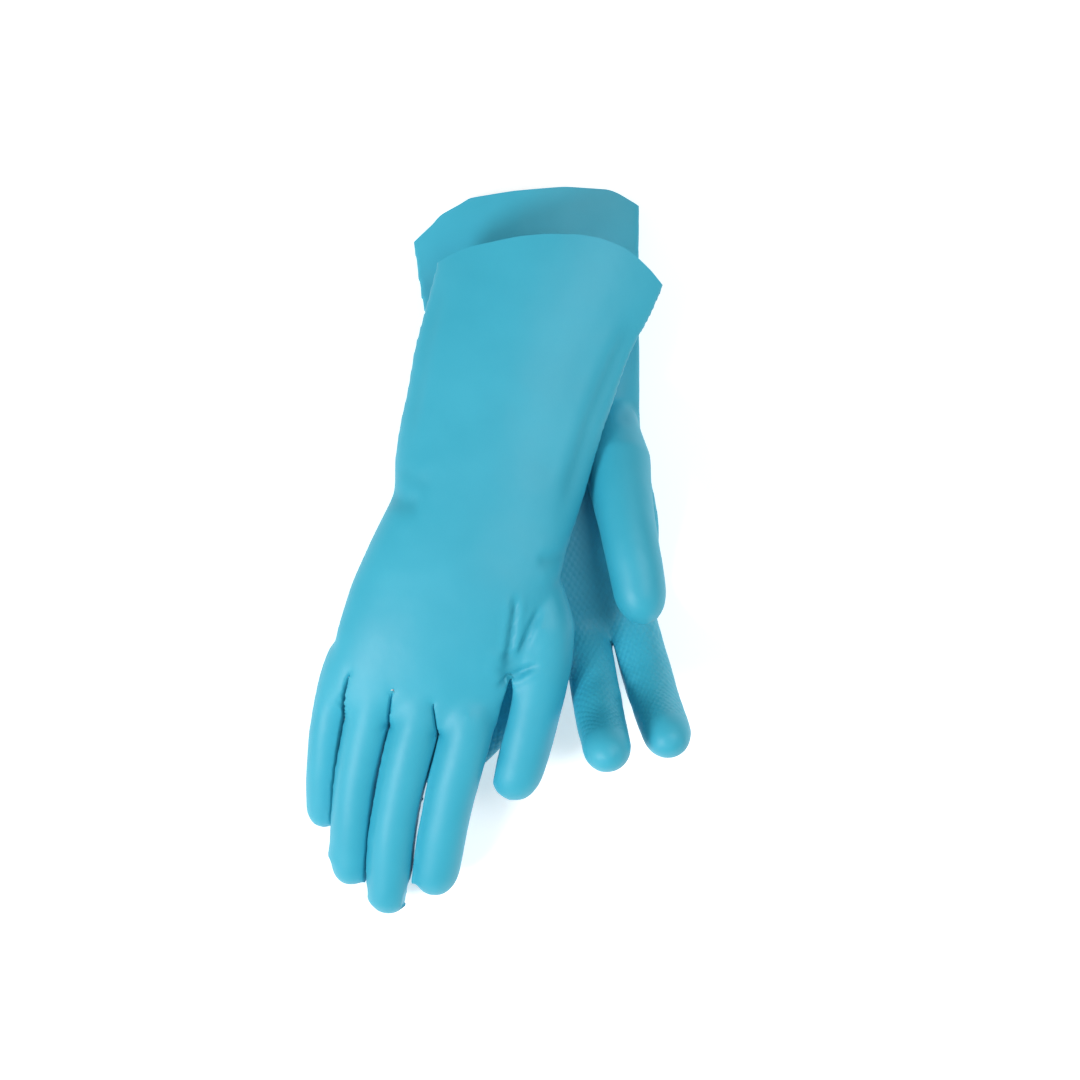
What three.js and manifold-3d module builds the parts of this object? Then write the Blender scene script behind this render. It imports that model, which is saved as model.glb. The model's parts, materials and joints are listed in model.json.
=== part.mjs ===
// A pair of long household gloves, dipped in nitrile and flock-lined, lying one across the other:
// the left glove palm up on the table, the right glove back up on top of it.
//
// Each glove is one skin. It is sectioned here where rubber folds: at the root of each digit and at the wrist.
// A section is a hollow shell with its own lining inside.
//
// Units are millimetres. In a glove's own frame +X points to the thumb side, +Y to the cuff and +Z up,
// with y = 0 at the wrist and z = 0 on the table.
import * as THREE from "three";
import { mergeVertices } from "three/addons/utils/BufferGeometryUtils.js";
import Module from "manifold-3d";

const wasm = await Module();
wasm.setup();

// ---- Size chart of the glove, the same for both hands -----------------------------------------------------------

const NITRILE_WALL = 0.45;
const BOND_GAP = 0.3; // room for the adhesive between shell and lining
const FLOCK_WALL = 0.5;
const SLIT = 0.3; // between two sections of one glove

const GAUNTLET_LENGTH = 125; // wrist to the side of the cuff
const CUFF_BOW = 14; // how far the cut edge curves out past its two side creases
const PALM_LENGTH = 97; // wrist to where the body of the hand ends, inside the knuckles
const WRIST_SLIT_AT = 12; // how far the cut at the wrist lies on the gauntlet's side

const CUFF_GIRTH = 232;
const FOREARM_GIRTH = 210;
const WRIST_GIRTH = 198;
const PALM_GIRTH = 204;
const KNUCKLE_GIRTH = 184;

// Where the two stations beyond the wrist lie, as shares of the palm's length.
const PALM_AT = 0.55;
const KNUCKLES_AT = 0.86;

// How far the middle of each section lies towards the thumb side.
const FOREARM_SHIFT = -4;
const WRIST_SHIFT = -3.5;
const PALM_SHIFT = -10.5;
const KNUCKLE_SHIFT = -15;

// length runs from the web to the tip, buried from the web back into the palm; the radii are half widths.
const DIGITS = {
  thumb: { length: 54, buried: 58, rootRadius: 16.5, webRadius: 13.2, tipRadius: 12 },
  index: { length: 81, buried: 40, rootRadius: 12.4, webRadius: 11.8, tipRadius: 11.2 },
  middle: { length: 92, buried: 40, rootRadius: 13.4, webRadius: 11.4, tipRadius: 11.2 },
  ring: { length: 86, buried: 38, rootRadius: 12.4, webRadius: 10.4, tipRadius: 9.8 },
  little: { length: 75, buried: 34, rootRadius: 9.4, webRadius: 8.9, tipRadius: 8.4 },
};
const INDEX_WEB_X = 14;
const WEB_PAST_PALM = { index: 3, middle: 4, ring: 1, little: -8 }; // past the end of the hand's body
const FINGER_GAPS = { middle: 1, ring: 0.9, little: 0.9 }; // from the finger before it
const ROOT_FULL_AT = 0.5; // inside the palm a digit is at its widest here, as a share of its buried length,
const ROOT_END_SHARE = 0.35; // and ends this narrow, well inside the body
const SLIT_PAST_WEB = 5; // a digit is cut this far beyond its web, where it already stands free

// How sharp the side creases are that packing leaves: 0.5 is an oval, and more is more of a lens.
const CUFF_CREASE = 0.8;
const FOREARM_CREASE = 0.65;
const NO_CREASE = 0.5;
const NOSE = { at: 0.75, fullness: 4 }; // the last ring of the hand's body, and what rounds it out

// ---- How each glove lies ------------------------------------------------------------------------------------------

// Each body station gives its half height and the height of its middle. A digit bends through three headings
// (degrees in plan, + towards the thumb side) and three pitches (degrees, + up): in the palm, at the web, at the tip.
// bunched is the gauntlet length taken up by folds at the wrist, and cuffSkew how far out of square the cuff lies.
const RIGHT = {
  side: "right",
  wrist: new THREE.Vector3(-4.6, 9.3, 0),
  yaw: -13.6,
  handTurn: 0,
  bunched: 0,
  cuffSkew: 0.1,
  onTable: false,
  cuff: { half: 17, mid: 44 },
  forearm: { half: 18, mid: 46.5 },
  wristOval: { half: 18, mid: 49 },
  palm: { half: 17.5, mid: 48.5 },
  knuckles: { half: 13.5, mid: 45.5 },
  thumbWeb: { x: 41.5, beforePalmEnd: 29 },
  digits: {
    thumb: { height: 39, heading: [22, 2, -5], pitch: [-6, -5, -12], flat: 0.95 },
    index: { height: 42.5, heading: [-12, -3, 5], pitch: [-5, -11, -27], flat: 0.97 },
    middle: { height: 43, heading: [-8, -5, 12], pitch: [-5, -11, -26], flat: 0.97 },
    ring: { height: 42, heading: [-6, -1, 8], pitch: [-5, -12, -27], flat: 0.97 },
    little: { height: 38, heading: [-2, -1, 9], pitch: [-5, -14, -31], flat: 0.97 },
  },
};
const LEFT = {
  side: "left",
  wrist: new THREE.Vector3(29, 52, 0),
  yaw: 8,
  handTurn: 6.5,
  bunched: 18,
  cuffSkew: 0,
  onTable: true,
  cuff: { half: 11, mid: 10.5 },
  forearm: { half: 12.5, mid: 12 },
  wristOval: { half: 13.5, mid: 13 },
  palm: { half: 13.5, mid: 13 },
  knuckles: { half: 10.5, mid: 10.5 },
  thumbWeb: { x: 23, beforePalmEnd: 55 },
  digits: {
    thumb: { height: 43, heading: [-8, -3, -2], pitch: [34, 24, -10], flat: 0.95 },
    index: { height: 13, heading: [-4, -1, 5], pitch: [0, 22, 78], flat: 0.97 },
    middle: { height: 12.5, heading: [-8, -7, 0], pitch: [0, 30, 88], flat: 0.97 },
    ring: { height: 6.4, heading: [-8, -40, -72], pitch: [-3, 0, 0], flat: 0.6 },
    little: { height: 6, heading: [-10, -50, -76], pitch: [-3, 0, 0], flat: 0.66 },
  },
};

// ---- Fineness of the facets ---------------------------------------------------------------------------------------

const BODY_SIDES = 18;
const DIGIT_SIDES = 10;
const DIGIT_STEPS = 3;
const DOME_STEPS = 2;
const OPEN_END = 8; // how far a cavity runs on past the cuff, to leave it open
const PATH_STEPS = 24; // straight steps along a digit's curved middle line
const WELD_WITHIN = 1e-3; // points this near each other are one

// ---- Geometry helpers ---------------------------------------------------------------------------------------------

// A closed surface through rings of points. Each ring runs anticlockwise about the way the rings advance.
function loft(rings) {
  const positions = [];
  const triangle = (...corners) => corners.forEach((p) => positions.push(p.x, p.y, p.z));
  const middle = (ring) =>
    ring.reduce((sum, p) => sum.add(p), new THREE.Vector3()).divideScalar(ring.length);
  rings.slice(1).forEach((ring, i) => {
    const last = rings[i];
    ring.forEach((point, k) => {
      const next = (k + 1) % ring.length;
      triangle(last[k], last[next], ring[next]);
      triangle(last[k], ring[next], point);
    });
  });
  const first = rings[0];
  const end = rings.at(-1);
  first.forEach((point, k) => triangle(middle(first), first[(k + 1) % first.length], point));
  end.forEach((point, k) => triangle(middle(end), point, end[(k + 1) % end.length]));
  return new THREE.BufferGeometry().setAttribute("position", new THREE.Float32BufferAttribute(positions, 3));
}

function solid(geometry) {
  const merged = mergeVertices(geometry, WELD_WITHIN);
  return new wasm.Manifold(
    new wasm.Mesh({
      numProp: 3,
      vertProperties: merged.attributes.position.array,
      triVerts: new Uint32Array(merged.index.array),
    }),
  );
}

function meshOf(made, name, material) {
  const { vertProperties, triVerts } = made.getMesh();
  const geometry = new THREE.BufferGeometry()
    .setAttribute("position", new THREE.BufferAttribute(vertProperties, 3))
    .setIndex(new THREE.BufferAttribute(triVerts, 1));
  geometry.computeVertexNormals();
  const mesh = new THREE.Mesh(geometry, material);
  mesh.name = name;
  return mesh;
}

// Three values reached at -1, 0 and 1, joined by straight runs.
const through = ([before, at, after], t) =>
  t < 0 ? THREE.MathUtils.lerp(at, before, -t) : THREE.MathUtils.lerp(at, after, t);

// Half the width of an oval tube of a given girth, once it is flattened to a half height.
const halfWidth = (girth, half) => Math.sqrt((girth / 4) ** 2 - ((Math.PI / 2) ** 2 - 1) * half ** 2);

// A glove that lies on the table is pressed flat where it touches it.
const pressedFlat = (pose, made, wall) => (pose.onTable ? made.trimByPlane([0, 0, 1], wall) : made);

// A ring's points moved inwards by a wall, square to its sides.
function inset(outline, wall) {
  return outline.map((point, k) => {
    const before = outline.at(k - 1);
    const after = outline[(k + 1) % outline.length];
    const inA = point.clone().sub(before).normalize();
    const inB = after.clone().sub(point).normalize();
    const normalA = new THREE.Vector2(-inA.y, inA.x);
    const normalB = new THREE.Vector2(-inB.y, inB.x);
    const miter = normalA.clone().add(normalB).divideScalar(1 + normalA.dot(normalB));
    return point.clone().addScaledVector(miter, wall);
  });
}

// ---- The body: gauntlet and palm, one tube ------------------------------------------------------------------------

// Turns a point about the wrist by the pose's hand turn, growing from nothing at the wrist to all of it in the palm.
function turned(pose, point) {
  const share = THREE.MathUtils.smoothstep(-point.y, -10, 40);
  return point.applyAxisAngle(new THREE.Vector3(0, 0, 1), THREE.MathUtils.degToRad(pose.handTurn) * share);
}

function bodyStations(pose) {
  const gauntlet = GAUNTLET_LENGTH - pose.bunched;
  const station = (y, girth, shift, { half, mid }, crease) => ({ y, girth, shift, half, mid, crease, skew: 0 });
  return [
    { ...station(gauntlet, CUFF_GIRTH, 0, pose.cuff, CUFF_CREASE), skew: pose.cuffSkew },
    station(gauntlet / 2, FOREARM_GIRTH, FOREARM_SHIFT, pose.forearm, FOREARM_CREASE),
    station(0, WRIST_GIRTH, WRIST_SHIFT, pose.wristOval, NO_CREASE),
    station(-PALM_LENGTH * PALM_AT, PALM_GIRTH, PALM_SHIFT, pose.palm, NO_CREASE),
    station(-PALM_LENGTH * KNUCKLES_AT, KNUCKLE_GIRTH, KNUCKLE_SHIFT, pose.knuckles, NO_CREASE),
  ];
}

function bodyRing(pose, station, wall, bow) {
  const half = station.half;
  const wide = halfWidth(station.girth, half);
  const outline = Array.from({ length: BODY_SIDES }, (_, k) => {
    const angle = (2 * Math.PI * k) / BODY_SIDES;
    const rise = Math.sin(angle);
    return new THREE.Vector2(wide * Math.cos(angle), half * Math.sign(rise) * Math.abs(rise) ** (2 * station.crease));
  });
  return inset(outline, wall).map((point, k) => {
    const rise = Math.abs(Math.sin((2 * Math.PI * k) / BODY_SIDES));
    const y = station.y + bow * rise + station.skew * point.x;
    return turned(pose, new THREE.Vector3(station.shift + point.x, y, station.mid + point.y));
  });
}

function bodySolid(pose, wall, open) {
  const stations = bodyStations(pose);
  const last = stations.at(-1);
  const round = Math.sqrt(1 - NOSE.at ** 2);
  const nose = {
    ...last,
    y: -THREE.MathUtils.lerp(-last.y, PALM_LENGTH - wall, NOSE.at),
    girth: last.girth * round + NOSE.fullness * (1 - NOSE.at),
    half: last.half * round,
  };
  const rings = [...stations, nose].map((station, i) => bodyRing(pose, station, wall, i === 0 ? CUFF_BOW : 0));
  if (open) {
    const mouth = { ...stations[0], y: stations[0].y + OPEN_END };
    rings.unshift(bodyRing(pose, mouth, wall, CUFF_BOW));
  }
  return pressedFlat(pose, solid(loft(rings)), wall);
}

// ---- The digits ---------------------------------------------------------------------------------------------------

// Where each digit leaves the hand: the fingers side by side across the knuckles, the thumb at the side of the palm.
function webPoint(pose, name) {
  if (name === "thumb") return { x: pose.thumbWeb.x, y: pose.thumbWeb.beforePalmEnd - PALM_LENGTH };
  const order = ["index", "middle", "ring", "little"];
  let x = INDEX_WEB_X;
  for (let i = 1; i <= order.indexOf(name); i += 1) {
    x -= DIGITS[order[i - 1]].webRadius + FINGER_GAPS[order[i]] + DIGITS[order[i]].webRadius;
  }
  return { x, y: -PALM_LENGTH - WEB_PAST_PALM[name] };
}

// The digit's middle line, as frames: a point, the way forward, the way to the side and the way up across the digit.
// travel is measured from the web, so it is negative in the palm.
function digitFrame(pose, name, travel) {
  const { length, buried } = DIGITS[name];
  const { height, heading, pitch } = pose.digits[name];
  const web = webPoint(pose, name);
  const ahead = (at) => {
    const share = at < 0 ? at / buried : at / length;
    const turn = THREE.MathUtils.degToRad(through(heading, share) + pose.handTurn);
    const climb = THREE.MathUtils.degToRad(through(pitch, share));
    return new THREE.Vector3(
      Math.sin(turn) * Math.cos(climb),
      -Math.cos(turn) * Math.cos(climb),
      Math.sin(climb),
    );
  };
  const point = turned(pose, new THREE.Vector3(web.x, web.y, height));
  for (let i = 0; i < PATH_STEPS; i += 1) {
    point.addScaledVector(ahead((travel * (i + 0.5)) / PATH_STEPS), travel / PATH_STEPS);
  }
  const forward = ahead(travel);
  const side = new THREE.Vector3(-forward.y, forward.x, 0).normalize();
  return { point, forward, side, up: forward.clone().cross(side) };
}

function digitSolid(pose, name, wall) {
  const { length, buried, rootRadius, webRadius, tipRadius } = DIGITS[name];
  const { flat } = pose.digits[name];
  const neck = length - tipRadius; // where the rounded end begins
  const ring = (travel, size) => {
    const { point, side, up } = digitFrame(pose, name, travel);
    return Array.from({ length: DIGIT_SIDES }, (_, k) => {
      const angle = (2 * Math.PI * (k + 0.5)) / DIGIT_SIDES;
      return point
        .clone()
        .addScaledVector(side, (size - wall) * Math.cos(angle))
        .addScaledVector(up, (size * flat - wall) * Math.sin(angle));
    });
  };
  const rings = [ring(-buried + 2 * wall, rootRadius * ROOT_END_SHARE), ring(-buried * ROOT_FULL_AT, rootRadius)];
  for (let i = 0; i <= DIGIT_STEPS; i += 1) {
    const share = i / DIGIT_STEPS;
    rings.push(ring(neck * share, THREE.MathUtils.lerp(webRadius, tipRadius, share)));
  }
  for (let i = 1; i <= DOME_STEPS; i += 1) {
    const angle = (i * Math.PI) / (2 * DOME_STEPS + 1);
    rings.push(ring(neck + (tipRadius - wall) * Math.sin(angle), tipRadius * Math.cos(angle)));
  }
  return pressedFlat(pose, solid(loft(rings)), wall);
}

// ---- Sections -----------------------------------------------------------------------------------------------------

const NAMES = Object.keys(DIGITS);

// The whole outside of a glove moved in by a wall. A cavity runs on out of the cuff.
const gloveSolid = (pose, wall, open) =>
  NAMES.reduce((sum, name) => sum.add(digitSolid(pose, name, wall)), bodySolid(pose, wall, open));

// A digit's slit: the plane that it folds at, and the hinge line along its upper skin.
function digitSlit(pose, name) {
  const frame = digitFrame(pose, name, SLIT_PAST_WEB);
  const rise = DIGITS[name].webRadius * pose.digits[name].flat;
  return { ...frame, hinge: frame.point.clone().addScaledVector(frame.up, rise) };
}

// The same at the wrist, square across the glove.
function wristSlit(pose) {
  const point = new THREE.Vector3(WRIST_SHIFT, WRIST_SLIT_AT, pose.wristOval.mid);
  const side = new THREE.Vector3(1, 0, 0);
  const hinge = point.clone().setZ(pose.wristOval.mid + pose.wristOval.half);
  return { point, forward: new THREE.Vector3(0, -1, 0), side, hinge };
}

// What lies beyond a plane, on the side that its normal points to.
const beyond = (made, normal, point, gap) => made.trimByPlane(normal.toArray(), normal.dot(point) + gap);

function digitSection(pose, name, outerWall, innerWall) {
  const { forward, point } = digitSlit(pose, name);
  const skin = digitSolid(pose, name, outerWall).subtract(digitSolid(pose, name, innerWall));
  return beyond(skin, forward, point, SLIT / 2);
}

function bodySections(pose, outerWall, innerWall) {
  let skin = gloveSolid(pose, outerWall, false).subtract(gloveSolid(pose, innerWall, true));
  for (const name of NAMES) {
    const { forward, point } = digitSlit(pose, name);
    const reach = digitSolid(pose, name, -SLIT);
    skin = skin.subtract(beyond(reach, forward, point, -SLIT / 2));
  }
  const { forward, point } = wristSlit(pose);
  return {
    gauntlet: beyond(skin, forward.clone().negate(), point, SLIT / 2),
    hand: beyond(skin, forward, point, SLIT / 2),
  };
}

const NITRILE = { color: 0x2fa9c8, roughness: 0.55, metalness: 0 };
const FLOCK = { color: 0xe9ecec, roughness: 1, metalness: 0 };

function makeGlove(pose) {
  const glove = new THREE.Group();
  const layers = [
    { suffix: "", outer: 0, inner: NITRILE_WALL, look: NITRILE },
    {
      suffix: "_lining",
      outer: NITRILE_WALL + BOND_GAP,
      inner: NITRILE_WALL + BOND_GAP + FLOCK_WALL,
      look: FLOCK,
    },
  ];
  for (const { suffix, outer, inner, look } of layers) {
    const sections = bodySections(pose, outer, inner);
    NAMES.forEach((name) => {
      sections[name] = digitSection(pose, name, outer, inner);
    });
    for (const [name, made] of Object.entries(sections)) {
      const material = new THREE.MeshStandardMaterial(look);
      glove.add(meshOf(made, `${pose.side}_${name}${suffix}`, material));
    }
  }
  glove.position.copy(pose.wrist);
  glove.rotation.z = THREE.MathUtils.degToRad(pose.yaw);
  const slits = NAMES.map((name) => [name, digitSlit(pose, name)]);
  glove.userData.hinges = { wrist: wristSlit(pose), ...Object.fromEntries(slits) };
  return glove;
}

// ---- The pair -----------------------------------------------------------------------------------------------------

const glovePair = new THREE.Group();
glovePair.add(makeGlove(LEFT), makeGlove(RIGHT));
glovePair.updateMatrixWorld(true);

// The part's origin is the middle of the pair, on the table.
const box = new THREE.Box3().setFromObject(glovePair, true);
const centre = box.getCenter(new THREE.Vector3());
glovePair.position.set(-centre.x, -centre.y, 0);

export default glovePair;
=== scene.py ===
# %% [markdown]
# # A pair of long household gloves
#
# The pair lies on a table: the left glove palm up, and the right glove on top of it with its back up.
# Each glove is one skin of dipped nitrile with cotton flock inside. This lesson shapes both skins as a dipper's
# former would, one smooth body with five digits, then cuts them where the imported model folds.

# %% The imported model, which is the fixed frame
import math

import json

import bmesh
import bpy
import numpy as np
from mathutils import Matrix, Vector, noise
from mathutils.bvhtree import BVHTree

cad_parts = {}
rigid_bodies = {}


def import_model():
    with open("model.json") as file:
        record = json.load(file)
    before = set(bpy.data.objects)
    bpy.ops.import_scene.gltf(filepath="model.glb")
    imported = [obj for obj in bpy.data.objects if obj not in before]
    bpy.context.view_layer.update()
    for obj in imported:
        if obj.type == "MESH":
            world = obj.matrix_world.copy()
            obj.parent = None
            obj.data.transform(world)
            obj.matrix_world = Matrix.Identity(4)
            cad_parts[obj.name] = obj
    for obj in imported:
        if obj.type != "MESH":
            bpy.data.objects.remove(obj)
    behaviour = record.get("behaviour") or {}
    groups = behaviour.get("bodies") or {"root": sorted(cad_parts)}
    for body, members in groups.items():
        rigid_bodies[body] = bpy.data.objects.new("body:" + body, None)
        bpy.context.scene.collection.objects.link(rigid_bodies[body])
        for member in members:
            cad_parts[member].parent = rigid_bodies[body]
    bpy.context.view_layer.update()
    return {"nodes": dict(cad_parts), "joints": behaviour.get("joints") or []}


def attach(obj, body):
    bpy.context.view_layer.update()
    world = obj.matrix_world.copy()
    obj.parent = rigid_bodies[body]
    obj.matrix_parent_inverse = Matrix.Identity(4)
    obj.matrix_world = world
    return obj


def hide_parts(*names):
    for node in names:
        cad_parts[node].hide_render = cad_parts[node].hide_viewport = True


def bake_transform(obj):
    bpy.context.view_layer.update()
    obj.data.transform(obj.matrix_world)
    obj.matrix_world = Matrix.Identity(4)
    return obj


for left_over in list(bpy.data.objects):
    bpy.data.objects.remove(left_over)
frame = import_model()
MM = 0.001

# %% [markdown]
# ## Floor, light and camera
#
# The gloves are seen from straight above on a white table, in soft light from everywhere and a large soft lamp
# from the upper left. A long lens keeps the lower glove almost as large as the upper one.

# %% The table, big and pale, with its near edge far outside the view
floor_mesh = bpy.data.meshes.new("table_top")
floor = bpy.data.objects.new("table_top", floor_mesh)
bpy.context.scene.collection.objects.link(floor)
made = bmesh.new()
bmesh.ops.create_grid(made, x_segments=1, y_segments=1, size=4.0)
made.to_mesh(floor_mesh)
made.free()

# %% The camera looks straight down on the pair
VIEW_HEIGHT = 1.05  # above the table
VIEW_WIDTH = 0.504  # seen across the frame at the height of the upper glove
VIEW_LEVEL = 0.05
SENSOR_WIDTH = 36
VIEW_CENTRE = Vector((0.0234, 0.0041))  # the pair lies a little to the left of the frame's middle

camera = bpy.data.objects.new("camera", bpy.data.cameras.new("camera"))
bpy.context.scene.collection.objects.link(camera)
camera.location = (*VIEW_CENTRE, VIEW_HEIGHT)
camera.data.sensor_width = SENSOR_WIDTH
camera.data.lens = SENSOR_WIDTH * (VIEW_HEIGHT - VIEW_LEVEL) / VIEW_WIDTH
camera.data.clip_start = 0.05
bpy.context.scene.camera = camera

# %% Soft studio light: a white room and two area lamps
world = bpy.data.worlds.new("white_room")
bpy.context.scene.world = world
world.use_nodes = True
world.node_tree.nodes["Background"].inputs["Color"].default_value = (1, 1, 1, 1)
world.node_tree.nodes["Background"].inputs["Strength"].default_value = 0.32
bpy.context.scene.view_settings.view_transform = "Standard"


def area_lamp(name, place, target, size, power):
    lamp = bpy.data.objects.new(name, bpy.data.lights.new(name, "AREA"))
    lamp.data.size = size
    lamp.data.energy = power
    lamp.location = place
    lamp.rotation_euler = (Vector(target) - Vector(place)).to_track_quat("-Z", "Y").to_euler()
    bpy.context.scene.collection.objects.link(lamp)
    return lamp


area_lamp("key_lamp", (-0.75, -0.55, 0.9), (0, 0, 0), 0.35, 10)
area_lamp("fill_lamp", (0.6, 0.2, 1.2), (0, 0, 0), 0.7, 6.5)
print("camera lens in mm:", round(camera.data.lens, 1))

# %% [markdown]
# ## Shader maths as Python
#
# A node graph is easier to read as an expression. `Value` wraps one socket, and each operator adds the Math node
# that it stands for. `Finish` holds one material and makes every other kind of node.


# %% The two helper classes
class Value:
    def __init__(self, finish, socket):
        self.finish, self.socket = finish, socket

    def _math(self, operation, a, b):
        return self.finish.node("ShaderNodeMath", {"operation": operation}, {0: a, 1: b})

    def __add__(self, other):
        return self._math("ADD", self, other)

    def __mul__(self, other):
        return self._math("MULTIPLY", self, other)

    def __sub__(self, other):
        return self._math("SUBTRACT", self, other)

    def __rsub__(self, other):
        return self._math("SUBTRACT", other, self)

    __radd__, __rmul__ = __add__, __mul__


class Finish:
    def __init__(self, name):
        self.material = bpy.data.materials.new(name)
        self.material.use_nodes = True
        self.tree = self.material.node_tree
        self.shader = self.tree.nodes["Principled BSDF"]

    def node(self, kind, settings=None, sockets=None, output=0):
        made = self.tree.nodes.new(kind)
        for key, value in (settings or {}).items():
            if key == "stops":
                for element, (at, colour) in zip(made.color_ramp.elements, value):
                    element.position, element.color = at, (*colour, 1)
            else:
                setattr(made, key, value)
        for key, value in (sockets or {}).items():
            self.feed(made.inputs[key], value)
        return Value(self, made.outputs[output])

    def feed(self, socket, value):
        if isinstance(value, Value):
            self.tree.links.new(value.socket, socket)
        else:
            socket.default_value = value

    def set(self, **inputs):
        for name, value in inputs.items():
            self.feed(self.shader.inputs[name.replace("_", " ")], value)

    def rest_place(self, scale):
        """Where a point of the skin lay at rest, so that a pattern stays on the skin as it bends."""
        place = self.node("ShaderNodeAttribute", {"attribute_name": "rest"}, output=1)
        return self.node("ShaderNodeMapping", {}, {"Vector": place, "Scale": (scale,) * 3})

    def noise(self, scale, detail=2.0, roughness=0.5):
        sockets = {"Vector": self.rest_place(scale), "Scale": 1.0, "Detail": detail, "Roughness": roughness}
        return self.node("ShaderNodeTexNoise", {}, sockets)

    def mix(self, factor, a, b):
        sockets = {0: factor, 6: (*a, 1) if isinstance(a, tuple) else a, 7: (*b, 1) if isinstance(b, tuple) else b}
        return self.node("ShaderNodeMix", {"data_type": "RGBA"}, sockets, output=2)


# %% [markdown]
# ## The finishes
#
# Nitrile dipped on a former is a satin turquoise with a faint cloudiness in the dip, and its folds are darkened a
# little as painted shade. A real skin is not a flat colour, so two noises move its colour and gloss a little.
# Flock is short cotton, matt and fibrous, and the table is plain white.


# %% Turquoise nitrile
def dipped_nitrile():
    finish = Finish("dipped_nitrile")
    cloud = finish.noise(22, detail=3)
    speck = finish.noise(420, detail=2)
    base = finish.mix(cloud, (0.026, 0.390, 0.545), (0.050, 0.480, 0.650))
    # Painted shade: the folds are darkened towards a deep teal, standing in for the shade that falls in them.
    fold_shade = finish.node("ShaderNodeAttribute", {"attribute_name": "crease"}, output=2)
    base = finish.mix(fold_shade * 0.2, base, (0.012, 0.20, 0.28))
    finish.set(Base_Color=base, Roughness=0.44 + cloud * 0.1 + speck * 0.05)
    finish.set(IOR=1.5, Coat_Weight=0.08, Coat_Roughness=0.5)
    finish.set(Subsurface_Weight=0.08, Subsurface_Radius=(0.001, 0.003, 0.004))
    grain = finish.node("ShaderNodeBump", {}, {"Strength": 0.12, "Distance": 0.0002, "Height": speck + cloud})
    finish.set(Normal=grain)
    return finish.material


# %% Cotton flock, pale and matt
def cotton_flock():
    finish = Finish("cotton_flock")
    fibre = finish.noise(1600, detail=4, roughness=0.7)
    patch = finish.noise(60, detail=2)
    base = finish.mix(patch, (0.62, 0.72, 0.74), (0.80, 0.86, 0.86))
    finish.set(Base_Color=base, Roughness=0.95, Sheen_Weight=0.35, Sheen_Roughness=0.5)
    nap = finish.node("ShaderNodeBump", {}, {"Strength": 0.7, "Distance": 0.0004, "Height": fibre})
    finish.set(Normal=nap)
    return finish.material


# %% The white table
def white_table():
    finish = Finish("white_table")
    finish.set(Base_Color=(0.93, 0.93, 0.93, 1), Roughness=0.9)
    finish.shader.inputs["Emission Color"].default_value = (1, 1, 1, 1)
    finish.shader.inputs["Emission Strength"].default_value = 0.45
    return finish.material


NITRILE, FLOCK = dipped_nitrile(), cotton_flock()
floor_mesh.materials.append(white_table())
print("finishes:", NITRILE.name, FLOCK.name)

# %% [markdown]
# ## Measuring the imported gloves
#
# Each section of a glove was cut flat at its slits, so the commonest face direction on a section is the way its
# slit faces. At the wrist that gives the glove's own axes: x to the thumb, y to the cuff, z up. At a digit's root
# it gives the start of the digit, and slicing onwards from there finds its middle line to the tip.

# %% Slices through a packed section
DIGITS = ("thumb", "index", "middle", "ring", "little")


def triangles(node):
    """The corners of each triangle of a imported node, in metres."""
    mesh = frame["nodes"][node].data
    points = np.empty(len(mesh.vertices) * 3)
    mesh.vertices.foreach_get("co", points)
    mesh.calc_loop_triangles()
    corners = np.empty(len(mesh.loop_triangles) * 3, int)
    mesh.loop_triangles.foreach_get("vertices", corners)
    return points.reshape(-1, 3)[corners].reshape(-1, 3, 3)


def slit_of(tris):
    """The direction and the middle of the flat slit that a section was cut at."""
    normals = np.cross(tris[:, 1] - tris[:, 0], tris[:, 2] - tris[:, 0])
    normals /= np.linalg.norm(normals, axis=1)[:, None] + 1e-12
    keys, where, counts = np.unique(np.round(normals, 3), axis=0, return_inverse=True, return_counts=True)
    upright = np.abs(keys[:, 2]) < 0.97
    common = np.argmax(counts * upright)
    rim = tris[where.ravel() == common].reshape(-1, 3)
    return Vector(keys[common]).normalized(), Vector((rim.min(0) + rim.max(0)) / 2)


def slice_middle(tris, point, normal):
    """The middle of what a plane cuts of a section, or None past its end."""
    away = (tris - np.array(point)) @ np.array(normal)
    found = []
    for a, b in ((0, 1), (1, 2), (2, 0)):
        crossing = away[:, a] * away[:, b] < 0
        share = away[crossing, a] / (away[crossing, a] - away[crossing, b])
        found.append(tris[crossing, a] + (tris[crossing, b] - tris[crossing, a]) * share[:, None])
    found = np.concatenate(found)
    return Vector((found.min(0) + found.max(0)) / 2) if len(found) > 5 else None


# %% A digit's middle line, from its slit to its tip
MARCH = 4 * MM


def middle_line(node):
    tris = triangles(node)
    back, point = slit_of(tris)
    ahead, line = -back, [point]
    while True:
        middle = slice_middle(tris, line[-1] + ahead * MARCH, ahead)
        if middle is None:
            break
        ahead = (middle - line[-1]).normalized()
        line.append(middle)
    reach = ((tris.reshape(-1, 3) - np.array(line[-1])) @ np.array(ahead)).max()
    return line + [line[-1] + ahead * reach]


# %% The glove's own axes at the wrist
WRIST_SHIFT = -3.6 * MM  # the middle of the wrist lies this far from the glove's long axis
SLIT_AT = 12.1 * MM  # and its slit this far up the gauntlet


def glove_axes(side):
    ahead, slit = slit_of(triangles(f"{side}_gauntlet"))
    to_cuff = -ahead
    across = to_cuff.cross(Vector((0, 0, 1)))
    origin = slit - across * WRIST_SHIFT - to_cuff * SLIT_AT
    origin.z = 0
    turn = Matrix((across, to_cuff, (0, 0, 1))).transposed()
    return Matrix.Translation(origin) @ turn.to_4x4()


SIDES = ("left", "right")
AXES = {side: glove_axes(side) for side in SIDES}
JOINTS = {joint["name"]: joint for joint in frame["joints"]}
LINES = {side: {name: middle_line(f"{side}_{name}") for name in DIGITS} for side in SIDES}
for side, lines in LINES.items():
    length = {name: round(sum((b - a).length for a, b in zip(line, line[1:])) / MM) for name, line in lines.items()}
    print(side, "digit lengths past the slit, in mm:", length)

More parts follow.
